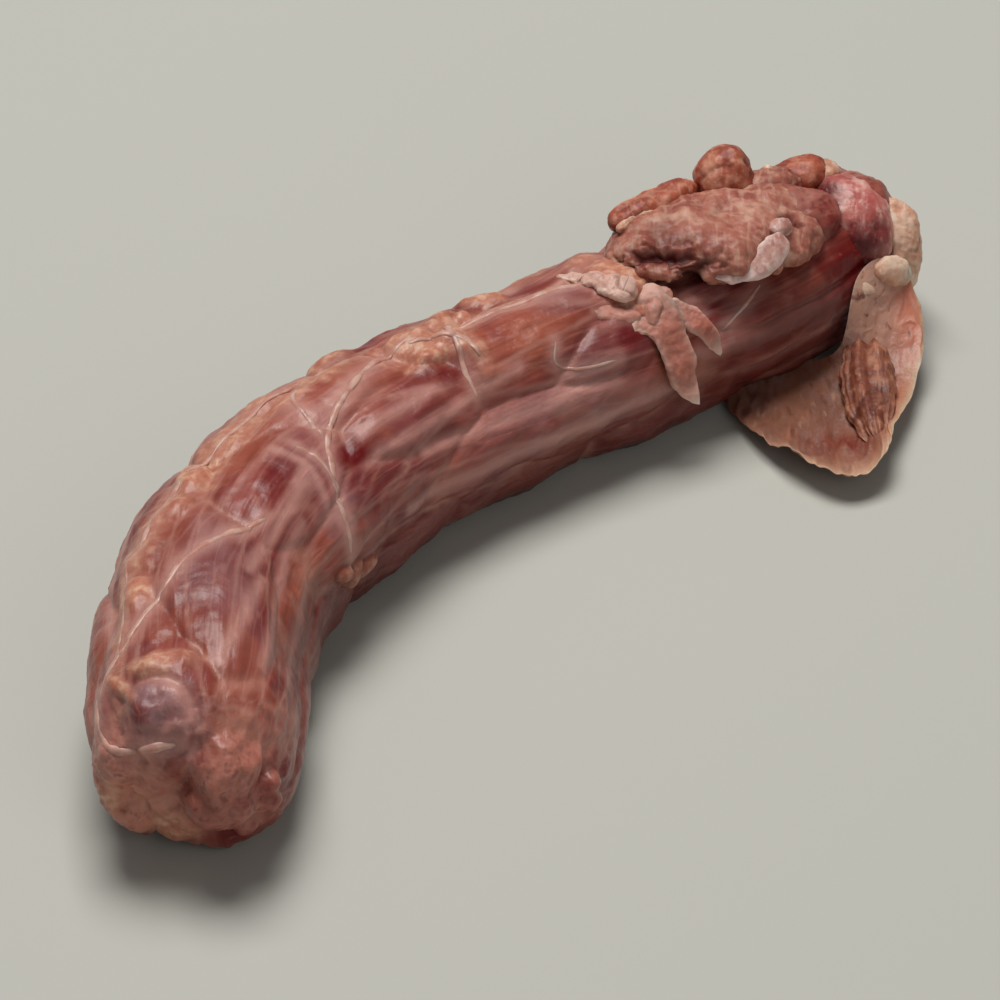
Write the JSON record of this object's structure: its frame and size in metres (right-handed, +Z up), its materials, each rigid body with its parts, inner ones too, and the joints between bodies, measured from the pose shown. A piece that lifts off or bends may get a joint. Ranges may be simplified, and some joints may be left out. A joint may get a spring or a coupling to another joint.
{
  "type": "raw chicken neck",
  "caption": "Raw skinned chicken neck, a bent rope of muscle with a rounded end, a cut end topped with lumpy meat, and a trailing scrap of skin.",
  "frame": {"origin": "under the middle of the bounding box, on the surface that the neck lies on", "axes": "+Z up; +Y roughly along the neck, from its rounded end to its cut end; the hollow side of the bend faces +X and -Y"},
  "size_m": [0.0958, 0.119, 0.0252],
  "materials": {
    "raw_meat": "moist"
  },
  "bodies": {
    "root": {"neck": "raw_meat"}
  },
  "joints": []
}
